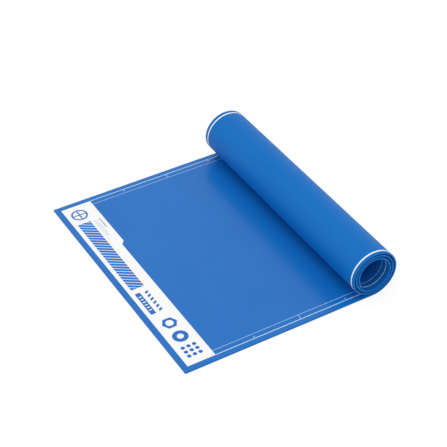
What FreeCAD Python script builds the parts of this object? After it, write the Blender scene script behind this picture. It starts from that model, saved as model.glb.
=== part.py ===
# Antistatic mat: one flat sheet of rubber, its far part rolled up on itself.
# Millimetres. The flat run lies along X on the floor, the roll lies along Y
# at its +X end, and the origin is the middle of the footprint, at floor level.
import FreeCAD, Part
import math
import os

import Sketcher

os.makedirs("parts", exist_ok=True)
doc = FreeCAD.newDocument("AntistaticMat")
sheet = doc.addObject("Spreadsheet::Sheet", "Sizes")


# Driving dimensions

SIZES = [
    ("mat_width", 300.0, "mm, along the roll"),
    ("thickness", 2.0, "mm, the rubber sheet"),
    ("flat_run", 223.8, "mm, from the free edge to where the sheet starts to curl"),
    ("roll_radius", 28.0, "mm, outside of the outermost turn"),
    ("turn_gap", 1.3, "mm of air between one turn and the next"),
    ("inner_turns", 2.0, "turns inside the outermost one"),
    ("end_angle", 32.0, "degrees that the inner end hangs past the roll's left side"),
]

# Values worked out from them

DERIVED = [
    ("pitch", "=thickness + turn_gap", "mm from one turn to the next"),
    ("overall_length", "=flat_run + roll_radius", "mm over the flat run and the roll"),
    ("free_edge", "=-overall_length / 2", "mm, place of the free edge along X"),
]


def fill_sheet():
    """Writes each size with its alias, and a note of what it measures."""
    for row, (alias, value, note) in enumerate(SIZES + DERIVED, start=1):
        sheet.set(f"A{row}", alias)
        sheet.set(f"B{row}", str(value))
        sheet.setAlias(f"B{row}", alias)
        sheet.set(f"C{row}", note)
    doc.recompute()


fill_sheet()
thickness = float(sheet.thickness)
flat_run = float(sheet.flat_run)
roll_radius = float(sheet.roll_radius)
pitch = float(sheet.pitch)
free_edge = float(sheet.free_edge)
inner_turns = round(float(sheet.inner_turns))
end_angle = math.radians(float(sheet.end_angle))

# Angles round the roll, seen with +X to the right and +Z up

UNDER = -math.pi / 2
OVER = math.pi / 2
LEFT = math.pi
NEXT_UNDER = 3 * math.pi / 2


# The sheet's rolled section

def face_line(inset):
    """One long face of the sheet as lines and arcs that run on in tangency.

    inset is how far the face lies inside the outer face: nothing for the
    underside, the thickness for the upper side. The roll is drawn in half
    turns. Those on its right have their centre on the roll's axis, and those
    on its left have it half a pitch higher, so each half turn is half a pitch
    smaller than the one before and a whole turn lets the sheet in by a pitch.
    """
    axis_x = free_edge + flat_run
    line = [straight(free_edge, axis_x, inset)]
    for turn in range(inner_turns + 1):
        radius = roll_radius - turn * pitch - inset
        left_end = NEXT_UNDER if turn < inner_turns else LEFT + end_angle
        line.append(arc(axis_x, roll_radius, radius, UNDER, OVER))
        line.append(arc(axis_x, roll_radius + pitch / 2, radius - pitch / 2, OVER, left_end))
    return line


def straight(start_x, end_x, height):
    """A level line of the section."""
    return Part.LineSegment(FreeCAD.Vector(start_x, height, 0), FreeCAD.Vector(end_x, height, 0))


def arc(centre_x, centre_height, radius, start, end):
    """An arc of the section."""
    centre = FreeCAD.Vector(centre_x, centre_height, 0)
    return Part.ArcOfCircle(Part.Circle(centre, FreeCAD.Vector(0, 0, 1), radius), start, end)


def end_point(geometry, last):
    """The first or the last point of a line or an arc."""
    return geometry.EndPoint if last else geometry.StartPoint


START, END, CENTRE = 1, 2, 3
X_AXIS = -1


def draw_section(section):
    """Draws the rolled section and ties it to the sizes."""
    under = face_line(0.0)
    upper = face_line(thickness)
    free_cap = Part.LineSegment(end_point(under[0], False), end_point(upper[0], False))
    inner_cap = Part.LineSegment(end_point(under[-1], True), end_point(upper[-1], True))
    section.addGeometry(under + upper + [free_cap, inner_cap], False)

    count = len(under)
    first_upper = count
    free_cap_id = 2 * count
    inner_cap_id = 2 * count + 1

    for chain in (0, first_upper):
        for step in range(count - 1):
            tie(section, "Tangent", chain + step, END, chain + step + 1, START)
    tie(section, "Coincident", free_cap_id, START, 0, START)
    tie(section, "Coincident", free_cap_id, END, first_upper, START)
    tie(section, "Coincident", inner_cap_id, START, count - 1, END)
    tie(section, "Coincident", inner_cap_id, END, 2 * count - 1, END)

    tie(section, "Horizontal", 0)
    tie(section, "PointOnObject", 0, START, X_AXIS)
    tie(section, "Vertical", free_cap_id)
    tie(section, "Horizontal", first_upper)
    tie(section, "PointOnObject", count - 1, CENTRE, inner_cap_id)

    for index in range(1, count):
        tie(section, "Coincident", first_upper + index, CENTRE, index, CENTRE)
        if index < count - 1:
            tie(section, "Vertical", index, END, index, CENTRE)

    size(section, "FreeEdge", "DistanceX", (0, START), free_edge, "Sizes.free_edge")
    size(section, "FlatRun", "DistanceX", (0, START, 0, END), flat_run, "Sizes.flat_run")
    size(section, "Thickness", "DistanceY", (free_cap_id, START, free_cap_id, END), thickness,
         "Sizes.thickness")
    for index in range(1, count):
        smaller = index - 1
        size(section, f"HalfTurn{index}", "Radius", (index,), roll_radius - smaller * pitch / 2,
             f"Sizes.roll_radius - {smaller} * Sizes.pitch / 2")
    size(section, "EndAngle", "Angle", (inner_cap_id,), end_angle, "Sizes.end_angle * 1 deg")


def tie(section, kind, *places):
    """Adds a constraint that holds pieces of the section together."""
    section.addConstraint(Sketcher.Constraint(kind, *places))


def size(section, name, kind, places, value, expression):
    """Adds a named dimension that follows the sheet."""
    index = section.addConstraint(Sketcher.Constraint(kind, *places, value))
    section.renameConstraint(index, name)
    section.setExpression(f"Constraints.{name}", expression)


def origin_plane(body, role):
    """One of a body's own origin planes."""
    for feature in body.Origin.OriginFeatures:
        if feature.Role == role:
            return feature
    raise ValueError(f"no origin plane {role}")


# The mat

def make_mat():
    """The whole mat: its rolled section, drawn in the XZ plane, given its width."""
    body = doc.addObject("PartDesign::Body", "Mat")
    body.Label = "mat"
    section = body.newObject("Sketcher::SketchObject", "RolledSection")
    section.AttachmentSupport = [(origin_plane(body, "XZ_Plane"), "")]
    section.MapMode = "FlatFace"
    draw_section(section)
    pad = body.newObject("PartDesign::Pad", "Width")
    pad.Profile = section
    pad.SideType = "Symmetric"
    pad.setExpression("Length", "Sizes.mat_width")
    body.Tip = pad
    return body


mat = make_mat()
doc.recompute()


# Checks before anything is written

for item in doc.Objects:
    if "Invalid" in item.State or "Error" in item.State:
        raise RuntimeError(f"{item.Label} did not build: {item.State}")

for part in (mat,):
    shape = part.Shape
    if shape.isNull() or not shape.isValid() or len(shape.Solids) != 1:
        raise RuntimeError(f"{part.Label} is not one valid solid")
    shape.exportStep(f"parts/{part.Label}.step")
    box = shape.BoundBox
    unrolled = shape.Volume / (float(sheet.thickness) * float(sheet.mat_width))
    print(part.Label, f"{box.XLength:.1f} x {box.YLength:.1f} x {box.ZLength:.1f} mm,",
          f"volume {shape.Volume / 1000:.1f} cm3, {unrolled:.1f} mm long unrolled")
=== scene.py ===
# An antistatic mat: one sheet of blue rubber, its far part rolled up, printed in white.
# Metres, in the part's own frame. The flat run lies along X on the floor, and the roll
# lies along Y at its +X end.
import bisect
import math

import bmesh
import bpy
from mathutils import Matrix, Vector


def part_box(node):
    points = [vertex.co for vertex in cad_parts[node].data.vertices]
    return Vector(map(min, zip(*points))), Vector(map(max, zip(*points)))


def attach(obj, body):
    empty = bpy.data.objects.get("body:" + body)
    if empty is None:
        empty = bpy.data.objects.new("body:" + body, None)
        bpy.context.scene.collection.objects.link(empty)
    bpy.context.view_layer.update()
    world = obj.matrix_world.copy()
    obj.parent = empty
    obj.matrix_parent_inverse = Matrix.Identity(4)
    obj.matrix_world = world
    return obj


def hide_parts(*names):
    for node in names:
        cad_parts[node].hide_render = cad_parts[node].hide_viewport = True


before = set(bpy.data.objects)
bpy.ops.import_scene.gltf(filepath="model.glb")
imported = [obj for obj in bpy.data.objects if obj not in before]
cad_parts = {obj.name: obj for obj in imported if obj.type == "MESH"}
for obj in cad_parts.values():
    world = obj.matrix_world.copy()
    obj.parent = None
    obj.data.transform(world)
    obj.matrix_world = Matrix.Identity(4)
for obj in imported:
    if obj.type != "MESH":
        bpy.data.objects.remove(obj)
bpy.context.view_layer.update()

MM = 0.001
QUARTER_TURN = math.pi / 2


# Sizes of the sheet, from the frame where it holds them

LOW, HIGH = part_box("mat")
THICKNESS = 2.0 * MM
TURN_GAP = 1.3 * MM
INNER_TURNS = 2
END_ANGLE = math.radians(32)

PITCH = THICKNESS + TURN_GAP
ROLL_RADIUS = (HIGH.z - LOW.z) / 2
AXIS_X = HIGH.x - ROLL_RADIUS
FREE_EDGE = LOW.x
WIDTH = HIGH.y - LOW.y

# Its rounded edges, each with a narrow flat band inside it that keeps the shading crisp

EDGE_RADIUS = 0.35 * MM
EDGE_BAND = 0.4 * MM
EDGE_INNER = EDGE_RADIUS + EDGE_BAND

# The print stands this far out of the rubber, and reaches as far into it. The rubber is
# that much thinner on both sides, so that the printed sheet keeps to its thickness.

INK = 0.05 * MM

# How finely the sheet is meshed

FLAT_STEP = 10 * MM
ARC_STEP = math.radians(2)
SPANS_ACROSS = 12
CORNER_STEPS = 3
SAME_PLACE = 1e-7


# Angles round a section of the sheet, seen with +Z up

RIGHT = 0.0
UNDER = -QUARTER_TURN
OVER = QUARTER_TURN
LEFT = 2 * QUARTER_TURN
NEXT_UNDER = 3 * QUARTER_TURN


# The sheet's rolled section, in runs that follow one another

class Straight:
    """The level run of the section, its underside on the floor."""

    def __init__(self, start, end):
        self.start = start
        self.length = end - start
        self.steps = max(1, round(self.length / FLAT_STEP))

    def point(self, share, height):
        """A point at a share of the run, this high over the underside."""
        return self.start + share * self.length, LOW.z + height


class Arc:
    """A curved run of the section, its underside at a given radius."""

    def __init__(self, centre_z, radius, start, end):
        self.centre_z = centre_z
        self.radius = radius
        self.start = start
        self.sweep = end - start
        self.length = (radius - THICKNESS / 2) * self.sweep
        self.steps = max(1, round(self.sweep / ARC_STEP))

    def point(self, share, height):
        """A point at a share of the run, this far inside the underside."""
        angle = self.start + share * self.sweep
        reach = self.radius - height
        return AXIS_X + reach * math.cos(angle), self.centre_z + reach * math.sin(angle)


def section_runs():
    """The sheet from its free edge to the inner end of the roll, run by run.

    The roll is a spiral of half turns. Those on its right have their centre on the
    roll's axis, and those on its left have it half a pitch higher.
    """
    runs = [Straight(FREE_EDGE, AXIS_X)]
    axis_z = LOW.z + ROLL_RADIUS
    for turn in range(INNER_TURNS + 1):
        radius = ROLL_RADIUS - turn * PITCH
        left_end = NEXT_UNDER if turn < INNER_TURNS else LEFT + END_ANGLE
        runs.append(Arc(axis_z, radius, UNDER, OVER))
        runs.append(Arc(axis_z + PITCH / 2, radius - PITCH / 2, OVER, left_end))
    return runs


RUNS = section_runs()
STARTS = [sum(run.length for run in RUNS[:index]) for index in range(len(RUNS))]
LENGTH = sum(run.length for run in RUNS)


def place(along, across, height):
    """A point of the sheet: along it from the free edge, across it from the near edge.

    The height is measured from the underside.
    """
    index = max(0, bisect.bisect_right(STARTS, along) - 1)
    run = RUNS[index]
    x, z = run.point((along - STARTS[index]) / run.length, height)
    return Vector((x, LOW.y + across, z))


def stations():
    """Distances from the free edge where the sheet's mesh has a line across it."""
    marks = []
    for start, run in zip(STARTS, RUNS):
        marks += [start + run.length * step / run.steps for step in range(run.steps)]
    return marks + [LENGTH]


STATIONS = stations()


# Making objects and pieces

SMOOTH_BELOW = math.radians(40)


def mesh_data(name, mesh):
    """A bmesh as mesh data."""
    data = bpy.data.meshes.new(name)
    mesh.to_mesh(data)
    mesh.free()
    return data


def add_object(name, data):
    """An object in the scene with that data."""
    added = bpy.data.objects.new(name, data)
    bpy.context.collection.objects.link(added)
    return added


def add_piece(name, mesh, slot, *materials):
    """Turns a bmesh into a piece that rides with the part."""
    data = mesh_data(name, mesh)
    data.shade_smooth()
    data.set_sharp_from_angle(angle=SMOOTH_BELOW)
    for material in materials:
        data.materials.append(material)
    piece = add_object(name, data)
    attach(piece, "root")
    return piece


# The rubber sheet

UPPER_FINISH = 0
UNDER_FINISH = 1


def edge_rows():
    """Places across the sheet for one face, closer together at its two edges."""
    span = (WIDTH - 2 * EDGE_INNER) / SPANS_ACROSS
    rows = [EDGE_INNER + span * step for step in range(SPANS_ACROSS + 1)]
    return [EDGE_RADIUS] + rows + [WIDTH - EDGE_RADIUS]


def corner_points(across, height, radius, start):
    """The points inside a rounded corner, a quarter turn clockwise from an angle."""
    angles = [start - QUARTER_TURN * step / CORNER_STEPS for step in range(1, CORNER_STEPS)]
    return [(across + radius * math.cos(angle), height + radius * math.sin(angle))
            for angle in angles]


def cross_ring(radius):
    """The sheet's cross-section as points (across, height), with corners of that radius."""
    bottom = INK + EDGE_RADIUS
    top = THICKNESS - INK - EDGE_RADIUS
    rows = edge_rows()
    near = rows[0]
    far = rows[-1]
    ring = [(across, top + radius) for across in rows]
    ring += corner_points(far, top, radius, OVER)
    ring += [(far + radius, top), (far + radius, bottom)]
    ring += corner_points(far, bottom, radius, RIGHT)
    ring += [(across, bottom - radius) for across in reversed(rows)]
    ring += corner_points(near, bottom, radius, UNDER)
    ring += [(near - radius, bottom), (near - radius, top)]
    ring += corner_points(near, top, radius, LEFT)
    return ring


def sheet_rings():
    """Each ring of the sheet as (distance along, corner radius), both ends rounded off."""
    angles = [QUARTER_TURN * step / CORNER_STEPS for step in range(CORNER_STEPS + 1)]
    opening = [(EDGE_RADIUS * (1 - math.cos(angle)), EDGE_RADIUS * math.sin(angle))
               for angle in angles]
    closing = [(LENGTH - along, radius) for along, radius in reversed(opening)]
    between = [mark for mark in STATIONS if EDGE_INNER < mark < LENGTH - EDGE_INNER]
    full = [(mark, EDGE_RADIUS) for mark in [EDGE_INNER] + between + [LENGTH - EDGE_INNER]]
    return opening + full + closing


def rubber_sheet(upper, under):
    """The whole sheet, flat run and roll, as one closed mesh with rounded edges.

    Its upper face has one finish, and its edges and underside have the other.
    """
    mesh = bmesh.new()
    loops = []
    for along, radius in sheet_rings():
        points = cross_ring(radius)
        loops.append([mesh.verts.new(place(along, across, height)) for across, height in points])

    count = len(loops[0])
    spans = len(edge_rows()) - 1
    for loop, after in zip(loops, loops[1:]):
        for index in range(count):
            following = (index + 1) % count
            face = mesh.faces.new((loop[index], loop[following], after[following], after[index]))
            face.material_index = UPPER_FINISH if index < spans else UNDER_FINISH

    bottom_start = spans + 2 * CORNER_STEPS + 1
    for loop in (loops[0], loops[-1]):
        for index in range(spans):
            below = bottom_start + spans - index
            cap = mesh.faces.new((loop[index], loop[index + 1], loop[below - 1], loop[below]))
            cap.material_index = UNDER_FINISH
    bmesh.ops.remove_doubles(mesh, verts=mesh.verts, dist=SAME_PLACE)
    bmesh.ops.recalc_face_normals(mesh, faces=mesh.faces)
    return add_piece("mat_sheet", mesh, "mat_rubber", upper, under)


# The print: flat shapes in (along, across), laid on the sheet as thin closed layers

def filled(outline, holes=()):
    """A flat shape with holes, as triangles."""
    flat = bmesh.new()
    for loop in (outline, *holes):
        corners = [flat.verts.new((along, across, 0.0)) for along, across in loop]
        for first, second in zip(corners, corners[1:] + corners[:1]):
            flat.edges.new((first, second))
    bmesh.ops.triangle_fill(flat, edges=flat.edges, use_beauty=True)
    return flat


def strip(start, end, low, high):
    """A flat band along the sheet, cut where the sheet's own mesh is, so that it bends with it."""
    flat = bmesh.new()
    marks = [start] + [mark for mark in STATIONS if start < mark < end] + [end]
    rows = [[flat.verts.new((mark, across, 0.0)) for across in (low, high)] for mark in marks]
    for row, after in zip(rows, rows[1:]):
        flat.faces.new((row[0], after[0], after[1], row[1]))
    return flat


def lay(name, shapes, material, upper=True):
    """Lays flat shapes on one side of the sheet, each as a closed layer of ink."""
    top = THICKNESS if upper else 2 * INK
    mesh = bmesh.new()
    for flat in shapes:
        above = {v: mesh.verts.new(place(v.co.x, v.co.y, top)) for v in flat.verts}
        below = {v: mesh.verts.new(place(v.co.x, v.co.y, top - 2 * INK)) for v in flat.verts}
        for face in flat.faces:
            mesh.faces.new([above[v] for v in face.verts])
            mesh.faces.new([below[v] for v in reversed(face.verts)])
        for edge in flat.edges:
            if edge.is_boundary:
                first, second = edge.verts
                mesh.faces.new((below[first], below[second], above[second], above[first]))
        flat.free()
    bmesh.ops.recalc_face_normals(mesh, faces=mesh.faces)
    return add_piece(name, mesh, "printed_ink", material)


# Outlines, given in millimetres from the free edge (x) and from the near edge (y)

ROUND = 48
SMALL_ROUND = 24
CORNER_POINTS = 5
SECTOR_STEPS = 12


def to_metres(points):
    """Millimetres to metres."""
    return [(x * MM, y * MM) for x, y in points]


def rectangle(x_low, x_high, y_low, y_high):
    """A rectangle with square corners."""
    return to_metres([(x_low, y_low), (x_high, y_low), (x_high, y_high), (x_low, y_high)])


def polygon(x, y, radius, sides):
    """A regular polygon, or a circle where it has many sides."""
    angles = [4 * QUARTER_TURN * side / sides for side in range(sides)]
    return to_metres([(x + radius * math.cos(angle), y + radius * math.sin(angle))
                      for angle in angles])


def rounded_rectangle(x_low, x_high, y_low, y_high, radius):
    """A rectangle with round corners."""
    centres = [(x_high - radius, y_high - radius), (x_low + radius, y_high - radius),
               (x_low + radius, y_low + radius), (x_high - radius, y_low + radius)]
    points = []
    for corner, (x, y) in enumerate(centres):
        for step in range(CORNER_POINTS + 1):
            angle = QUARTER_TURN * (corner + step / CORNER_POINTS)
            points.append((x + radius * math.cos(angle), y + radius * math.sin(angle)))
    return to_metres(points)


def quarter_sector(x, y, radius, gap, corner):
    """A quarter of a disc, set back from the two lines that part it from the others."""
    start = math.asin(gap / radius)
    sweep = QUARTER_TURN - 2 * start
    angles = [QUARTER_TURN * corner + start + sweep * step / SECTOR_STEPS
              for step in range(SECTOR_STEPS + 1)]
    points = [(x + radius * math.cos(angle), y + radius * math.sin(angle)) for angle in angles]
    diagonal = QUARTER_TURN * corner + QUARTER_TURN / 2
    tip = gap * math.sqrt(2)
    points.append((x + tip * math.cos(diagonal), y + tip * math.sin(diagonal)))
    return to_metres(points)


# The white panel by the free edge, with everything blue on it left open to the rubber

MAT_WIDTH = WIDTH / MM
PANEL_INSET = 6.6
PANEL_START = 6.5
PANEL_NARROW = 38.2
PANEL_WIDE = 42.35
STEP_LOW = 206.4
STEP_HIGH = 211.6


def panel_outline():
    """The panel, wider past a slanted step two thirds of the way along it."""
    near = PANEL_INSET
    far = MAT_WIDTH - PANEL_INSET
    return to_metres([(PANEL_START, near), (PANEL_NARROW, near), (PANEL_NARROW, STEP_LOW),
                      (PANEL_WIDE, STEP_HIGH), (PANEL_WIDE, far), (PANEL_START, far)])


# Its hatched band, with some stripes to spare past both ends, which are clipped away

HATCH_X = (11.2, 26.6)
HATCH_Y = (134.4, 260.9)
HATCH_PITCH = 5.11
HATCH_SLOPE = -0.68
HATCH_STROKE = 4.15
HATCH_FROM = 254.85
HATCH_SPARE = 2


def clipped(points, limit, keep_above):
    """The part of an outline on one side of a line y = limit."""
    kept = []
    for (x0, y0), (x1, y1) in zip(points, points[1:] + points[:1]):
        inside0 = y0 >= limit if keep_above else y0 <= limit
        inside1 = y1 >= limit if keep_above else y1 <= limit
        if inside0:
            kept.append((x0, y0))
        if inside0 != inside1:
            share = (limit - y0) / (y1 - y0)
            kept.append((x0 + share * (x1 - x0), limit))
    return kept


def hatch_stripes():
    """Slanted stripes that fill a band along the panel."""
    left, right = HATCH_X
    bottom, top = HATCH_Y
    rise = HATCH_SLOPE * (right - left) / 2
    half = HATCH_STROKE / 2
    reach = math.ceil((top - bottom) / HATCH_PITCH) + HATCH_SPARE
    stripes = []
    for step in range(-reach, reach):
        centre = HATCH_FROM + step * HATCH_PITCH
        stripe = [(left, centre - rise - half), (right, centre + rise - half),
                  (right, centre + rise + half), (left, centre - rise + half)]
        stripe = clipped(clipped(stripe, bottom, True), top, False)
        if len(stripe) > 2:
            stripes.append(to_metres(stripe))
    return stripes


# A plain ring with a cross in it

RING_X = 21.0
RING_Y = 276.6
RING_RADIUS = 9.4
RING_STROKE = 2.0
CROSS_HALF = 0.8


def ring_and_cross():
    """The ring's open outline, and the white quarters inside."""
    quarters = [quarter_sector(RING_X, RING_Y, RING_RADIUS - RING_STROKE, CROSS_HALF, corner)
                for corner in range(4)]
    return [polygon(RING_X, RING_Y, RING_RADIUS, ROUND)], quarters


# Three fine lines beside the hatched band, and a bolder one

FINE_X = 30.2
FINE_PITCH = 1.8
FINE_STROKE = 0.28
FINE_STARTS = (221.5, 228.0, 224.5)
FINE_END = 260.0
BOLD_X = (37.0, 37.9)
BOLD_Y = (243.0, 261.0)


def note_lines():
    """The fine lines, each with a start of its own, and the bold one."""
    fine = []
    for index, start in enumerate(FINE_STARTS):
        x = FINE_X + index * FINE_PITCH
        fine.append(rectangle(x, x + FINE_STROKE, start, FINE_END))
    return fine + [rectangle(*BOLD_X, *BOLD_Y)]


# A blue bar with white ticks across it, and a row of slanted dashes beside it

BAR_X = (11.3, 17.4)
BAR_Y = (90.6, 127.2)
BAR_CORNER = 1.2
BAR_TICKS = 6
BAR_TICK_FROM = 97.2
BAR_TICK_PITCH = 4.5
BAR_TICK_STROKE = 1.4
BAR_TICK_INSET = 1.5

DASHES = 6
DASH_X = (21.8, 26.0)
DASH_FROM = 91.2
DASH_PITCH = 6.1
DASH_STROKE = 3.2
DASH_SLANT = 2.0


def tally_bar():
    """The bar's open outline with its round corners, and the white ticks."""
    left = BAR_X[0] + BAR_TICK_INSET
    right = BAR_X[1] - BAR_TICK_INSET
    starts = [BAR_TICK_FROM + BAR_TICK_PITCH * step for step in range(BAR_TICKS)]
    ticks = [rectangle(left, right, start, start + BAR_TICK_STROKE) for start in starts]
    return [rounded_rectangle(*BAR_X, *BAR_Y, BAR_CORNER)], ticks


def dashes():
    """The dashes, from the near one."""
    left, right = DASH_X
    row = []
    for step in range(DASHES):
        y = DASH_FROM + DASH_PITCH * step
        raised = y + DASH_SLANT
        row.append(to_metres([(left, y), (right, raised), (right, raised + DASH_STROKE),
                              (left, y + DASH_STROKE)]))
    return row


# A plain nut, a plain washer and nine dots, one after the other

MARKS_X = 21.5
NUT_Y = 70.5
NUT_SIDES = 6
NUT_RADIUS = 8.6
NUT_HOLE = 4.3
WASHER_Y = 48.0
WASHER_RADIUS = 8.4
WASHER_HOLE = 3.6
DOTS_Y = 25.0
DOTS_PITCH = 6.5
DOTS_RADIUS = 2.3


def hardware_marks():
    """The open outlines of nut and washer, and the white hole in each."""
    outlines = [polygon(MARKS_X, NUT_Y, NUT_RADIUS, NUT_SIDES),
                polygon(MARKS_X, WASHER_Y, WASHER_RADIUS, ROUND)]
    holes = [polygon(MARKS_X, NUT_Y, NUT_HOLE, ROUND),
             polygon(MARKS_X, WASHER_Y, WASHER_HOLE, ROUND)]
    return outlines, holes


def dot_grid():
    """Nine dots in rows of three."""
    steps = (-DOTS_PITCH, 0.0, DOTS_PITCH)
    return [polygon(MARKS_X + right, DOTS_Y + up, DOTS_RADIUS, SMALL_ROUND)
            for right in steps for up in steps]


def print_panel(material):
    """The white panel and the white shapes inside its openings."""
    ring_open, ring_white = ring_and_cross()
    bar_open, bar_white = tally_bar()
    marks_open, marks_white = hardware_marks()
    openings = (hatch_stripes() + ring_open + note_lines() + bar_open + dashes()
                + marks_open + dot_grid())
    shapes = [filled(panel_outline(), openings)]
    shapes += [filled(outline) for outline in ring_white + bar_white + marks_white]
    return lay("print_panel", shapes, material)


# The double border line with its marks, which stop short of the inner end

OUTER_AT = 6.7 * MM
OUTER_STROKE = 0.9 * MM
INNER_AT = 13.3 * MM
INNER_STROKE = 0.42 * MM
MARK_FIRST = 84.3 * MM
MARK_PITCH = 55.4 * MM
MARKS_SHORT = 120 * MM
TICK_STROKE = 0.5 * MM
DOT_AT = 9.0 * MM
DOT_RADIUS = 0.75 * MM

# The single line along each side of the underside

UNDER_NEAR = 3.8 * MM
UNDER_FAR = 5.2 * MM
UNDER_STROKE = 1.7 * MM


def frame_lines(inset, stroke):
    """A line along both sides from the panel to the inner end, and one across there."""
    half = stroke / 2
    last = LENGTH - inset
    near = strip(PANEL_NARROW * MM, last + half, inset - half, inset + half)
    far = strip(PANEL_WIDE * MM, last + half, WIDTH - inset - half, WIDTH - inset + half)
    across = strip(last - half, last + half, inset + half, WIDTH - inset - half)
    return [near, far, across]


def dot_pair(along):
    """A dot on each side, between the two lines."""
    return [filled(polygon(along / MM, across / MM, DOT_RADIUS / MM, SMALL_ROUND))
            for across in (DOT_AT, WIDTH - DOT_AT)]


def tick_pair(along):
    """A tick on each side, from one line to the other."""
    half = TICK_STROKE / 2
    low = OUTER_AT + OUTER_STROKE / 2
    high = INNER_AT - INNER_STROKE / 2
    return [strip(along - half, along + half, low, high),
            strip(along - half, along + half, WIDTH - high, WIDTH - low)]


def border_marks():
    """Dots and ticks by turns along both sides."""
    marks = []
    count = math.floor((LENGTH - MARKS_SHORT - MARK_FIRST) / MARK_PITCH) + 1
    for step in range(count):
        make_pair = tick_pair if step % 2 else dot_pair
        marks += make_pair(MARK_FIRST + step * MARK_PITCH)
    return marks


def print_border(material):
    """The lines and marks on the upper side."""
    shapes = frame_lines(OUTER_AT, OUTER_STROKE) + frame_lines(INNER_AT, INNER_STROKE)
    return lay("print_border", shapes + border_marks(), material)


def print_underside(material):
    """One line along each side of the underside, which shows on the outside of the roll."""
    half = UNDER_STROKE / 2
    lines = [strip(EDGE_RADIUS, LENGTH - EDGE_RADIUS, across - half, across + half)
             for across in (UNDER_NEAR, WIDTH - UNDER_FAR)]
    return lay("print_underside", lines, material, upper=False)


# Materials

# Noise as (patches per metre, detail, roughness), and the middle stretch of its values

CLOUDS = (14, 3, 0.5)
GRAIN = (1400, 3, 0.6)
SHEEN = (60, 4, 0.5)
PEBBLES = (2300, 2, 0.5)
INK_CLOUDS = (40, 3, 0.5)
INK_SHEEN = (300, 3, 0.5)
INK_SCREEN = (2600, 2, 0.5)
NOISE_LOW = 0.3
NOISE_HIGH = 0.7

# Relief as (strength, depth)

GRAIN_RELIEF = (0.3, 0.015 * MM)
PEBBLE_RELIEF = (0.3, 0.012 * MM)
SCREEN_RELIEF = (0.2, 0.008 * MM)

# How much of the worn colour the grain shows at most, and how the ink shines

GRAIN_SHARE = 0.3
INK_ROUGHNESS = (0.36, 0.48)
INK_GLOSS = 0.3


def new_material(name):
    """A node material and its shader."""
    material = bpy.data.materials.new(name)
    material.use_nodes = True
    return material, material.node_tree.nodes["Principled BSDF"]


def own_coordinates(material):
    """The object's own coordinates, which stay with the piece."""
    return material.node_tree.nodes.new("ShaderNodeTexCoord").outputs["Object"]


def noise(material, where, pattern):
    """Noise over the object."""
    tree = material.node_tree
    node = tree.nodes.new("ShaderNodeTexNoise")
    for name, value in zip(("Scale", "Detail", "Roughness"), pattern):
        node.inputs[name].default_value = value
    tree.links.new(where, node.inputs["Vector"])
    return node.outputs["Fac"]


def spread(material, value, low, high):
    """Noise, which stays near its middle, stretched to run from low to high."""
    tree = material.node_tree
    node = tree.nodes.new("ShaderNodeMapRange")
    node.inputs["From Min"].default_value = NOISE_LOW
    node.inputs["From Max"].default_value = NOISE_HIGH
    node.inputs["To Min"].default_value = low
    node.inputs["To Max"].default_value = high
    tree.links.new(value, node.inputs["Value"])
    return node.outputs["Result"]


def colour_socket(sockets, name):
    """The colour socket of that name, which other kinds share."""
    return next(socket for socket in sockets if socket.name == name and socket.type == "RGBA")


def blended(material, factor, first, second):
    """A colour between two, by the factor; either may be a colour or another node's output."""
    tree = material.node_tree
    node = tree.nodes.new("ShaderNodeMix")
    node.data_type = "RGBA"
    tree.links.new(factor, node.inputs["Factor"])
    for name, colour in (("A", first), ("B", second)):
        socket = colour_socket(node.inputs, name)
        if isinstance(colour, tuple):
            socket.default_value = (*colour, 1.0)
        else:
            tree.links.new(colour, socket)
    return colour_socket(node.outputs, "Result")


def bump(material, height, relief, under=None):
    """Relief from a height, over other relief where some is given."""
    tree = material.node_tree
    node = tree.nodes.new("ShaderNodeBump")
    strength, depth = relief
    node.inputs["Strength"].default_value = strength
    node.inputs["Distance"].default_value = depth
    tree.links.new(height, node.inputs["Height"])
    if under is not None:
        tree.links.new(under, node.inputs["Normal"])
    return node.outputs["Normal"]


def rubber_material(name, low, high, worn, gloss, roughness):
    """Blue rubber: a fine pressed grain, faint clouding, and a sheen that varies a little.

    low and high are the colours it clouds between, and worn the colour in the grain.
    """
    material, shader = new_material(name)
    where = own_coordinates(material)
    grain = noise(material, where, GRAIN)
    clouds = spread(material, noise(material, where, CLOUDS), 0.0, 1.0)
    in_grain = spread(material, grain, 0.0, GRAIN_SHARE)
    colour = blended(material, in_grain, blended(material, clouds, low, high), worn)
    sheen = spread(material, noise(material, where, SHEEN), *roughness)
    pebbles = bump(material, noise(material, where, PEBBLES), PEBBLE_RELIEF)
    links = material.node_tree.links
    links.new(colour, shader.inputs["Base Color"])
    links.new(sheen, shader.inputs["Roughness"])
    links.new(bump(material, grain, GRAIN_RELIEF, pebbles), shader.inputs["Normal"])
    shader.inputs["Specular IOR Level"].default_value = gloss
    return material


def upper_rubber():
    """The smooth upper face, with a soft reflection of what stands on it."""
    return rubber_material("blue_rubber_upper", low=(0.0055, 0.160, 0.550),
                           high=(0.0075, 0.171, 0.570), worn=(0.004, 0.146, 0.526),
                           gloss=0.285, roughness=(0.22, 0.27))


def under_rubber():
    """The underside and the cut edges, more matt and a little deeper in colour."""
    return rubber_material("blue_rubber_under", low=(0.0025, 0.160, 0.540),
                           high=(0.004, 0.170, 0.558), worn=(0.0015, 0.145, 0.515),
                           gloss=0.12, roughness=(0.42, 0.52))


def ink_material(name, low, high):
    """Ink, printed through a fine screen, which clouds between two near colours."""
    material, shader = new_material(name)
    where = own_coordinates(material)
    clouds = spread(material, noise(material, where, INK_CLOUDS), 0.0, 1.0)
    sheen = spread(material, noise(material, where, INK_SHEEN), *INK_ROUGHNESS)
    screen = bump(material, noise(material, where, INK_SCREEN), SCREEN_RELIEF)
    links = material.node_tree.links
    links.new(blended(material, clouds, low, high), shader.inputs["Base Color"])
    links.new(sheen, shader.inputs["Roughness"])
    links.new(screen, shader.inputs["Normal"])
    shader.inputs["Specular IOR Level"].default_value = INK_GLOSS
    return material


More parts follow.
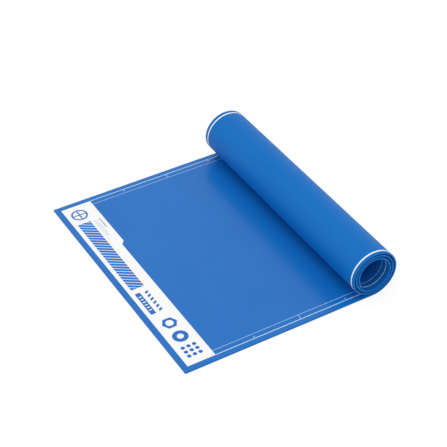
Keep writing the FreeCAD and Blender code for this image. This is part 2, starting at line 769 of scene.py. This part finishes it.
def full_ink():
    """White ink laid on thick."""
    return ink_material("white_ink", low=(0.975, 0.978, 0.978), high=(0.99, 0.991, 0.991))


def thin_ink():
    """White ink in thin lines, through which the rubber shows a little."""
    return ink_material("thin_white_ink", low=(0.52, 0.78, 0.965), high=(0.58, 0.82, 0.975))


# The floor, light and camera

WHITE = (1.0, 1.0, 1.0, 1.0)
FLOOR_SIZE = 6.0
FLOOR_COLOUR = (0.82, 0.82, 0.82, 1.0)
FLOOR_SHADOWED = (0.17, 0.17, 0.17, 1.0)
FLOOR_GLOW = 0.86


def any_ray(tree, *kinds):
    """1 for a ray of any of these kinds, and 0 for the others."""
    path = tree.nodes.new("ShaderNodeLightPath")
    result = path.outputs[kinds[0]]
    for kind in kinds[1:]:
        larger = tree.nodes.new("ShaderNodeMath")
        larger.operation = "MAXIMUM"
        tree.links.new(result, larger.inputs[0])
        tree.links.new(path.outputs[kind], larger.inputs[1])
        result = larger.outputs["Value"]
    return result


def floor_material():
    """Pale and matt. To the camera most of its white is even, and the rest takes the shadow."""
    material, shader = new_material("pale_floor")
    tree = material.node_tree
    shader.inputs["Base Color"].default_value = FLOOR_COLOUR
    shader.inputs["Roughness"].default_value = 1.0
    shader.inputs["Specular IOR Level"].default_value = 0.0
    shadowed = tree.nodes.new("ShaderNodeBsdfDiffuse")
    shadowed.inputs["Color"].default_value = FLOOR_SHADOWED
    glow = tree.nodes.new("ShaderNodeEmission")
    glow.inputs["Strength"].default_value = FLOOR_GLOW
    both = tree.nodes.new("ShaderNodeAddShader")
    tree.links.new(shadowed.outputs["BSDF"], both.inputs[0])
    tree.links.new(glow.outputs["Emission"], both.inputs[1])
    choice = tree.nodes.new("ShaderNodeMixShader")
    tree.links.new(any_ray(tree, "Is Camera Ray"), choice.inputs["Fac"])
    tree.links.new(shader.outputs["BSDF"], choice.inputs[1])
    tree.links.new(both.outputs["Shader"], choice.inputs[2])
    tree.links.new(choice.outputs["Shader"], tree.nodes["Material Output"].inputs["Surface"])
    return material


def add_floor():
    """A level floor under the mat."""
    mesh = bmesh.new()
    half = FLOOR_SIZE / 2
    corners = [(-half, -half), (half, -half), (half, half), (-half, half)]
    mesh.faces.new([mesh.verts.new((x, y, LOW.z)) for x, y in corners])
    data = mesh_data("floor", mesh)
    data.materials.append(floor_material())
    floor = add_object("floor", data)


WORLD_LIGHT = 0.83
WORLD_SHOWN = 1.0


def add_world():
    """Even white light from all round, shown as plain white to the camera and in reflections."""
    world = bpy.data.worlds.new("studio")
    bpy.context.scene.world = world
    world.use_nodes = True
    tree = world.node_tree
    light = tree.nodes["Background"]
    light.inputs["Color"].default_value = WHITE
    light.inputs["Strength"].default_value = WORLD_LIGHT
    shown = tree.nodes.new("ShaderNodeBackground")
    shown.inputs["Color"].default_value = WHITE
    shown.inputs["Strength"].default_value = WORLD_SHOWN
    seen = any_ray(tree, "Is Camera Ray", "Is Glossy Ray", "Is Transmission Ray")
    choice = tree.nodes.new("ShaderNodeMixShader")
    tree.links.new(seen, choice.inputs["Fac"])
    tree.links.new(light.outputs["Background"], choice.inputs[1])
    tree.links.new(shown.outputs["Background"], choice.inputs[2])
    tree.links.new(choice.outputs["Shader"], tree.nodes["World Output"].inputs["Surface"])


LAMP_AT = Vector((-0.2, 0.1, 2.4))
LAMP_SIZE = 1.6
LAMP_POWER = 9.7


def add_lamp():
    """One large soft lamp, high over the mat and aimed at its middle."""
    data = bpy.data.lights.new("soft_lamp", "AREA")
    data.shape = "DISK"
    data.size = LAMP_SIZE
    data.energy = LAMP_POWER
    lamp = add_object("soft_lamp", data)
    lamp.location = LAMP_AT
    lamp.rotation_euler = (-LAMP_AT).to_track_quat("-Z", "Y").to_euler()


CAMERA_AIM = Vector((0.0261, 0.0329, 0.0))
CAMERA_DISTANCE = 1.5424
CAMERA_AZIMUTH = math.radians(-30.43)
CAMERA_ELEVATION = math.radians(38.80)
CAMERA_ROLL = math.radians(-0.43)
CAMERA_LENS = 112.15
CAMERA_SENSOR = 36.0


def add_camera():
    """The camera, at the photograph's angle."""
    back = Vector((math.sin(CAMERA_AZIMUTH) * math.cos(CAMERA_ELEVATION),
                   -math.cos(CAMERA_AZIMUTH) * math.cos(CAMERA_ELEVATION),
                   math.sin(CAMERA_ELEVATION)))
    data = bpy.data.cameras.new("camera")
    data.lens = CAMERA_LENS
    data.sensor_width = CAMERA_SENSOR
    camera = add_object("camera", data)
    turned = (-back).to_track_quat("-Z", "Y").to_matrix().to_4x4()
    spot = Matrix.Translation(CAMERA_AIM + back * CAMERA_DISTANCE)
    camera.matrix_world = spot @ turned @ Matrix.Rotation(CAMERA_ROLL, 4, "Z")
    bpy.context.scene.camera = camera


# Putting it together

sheet = rubber_sheet(upper_rubber(), under_rubber())
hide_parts("mat")

panel_ink = full_ink()
prints = [print_panel(panel_ink), print_border(thin_ink()), print_underside(panel_ink)]

add_floor()
add_world()
add_lamp()
add_camera()
bpy.context.scene.view_settings.view_transform = "Standard"
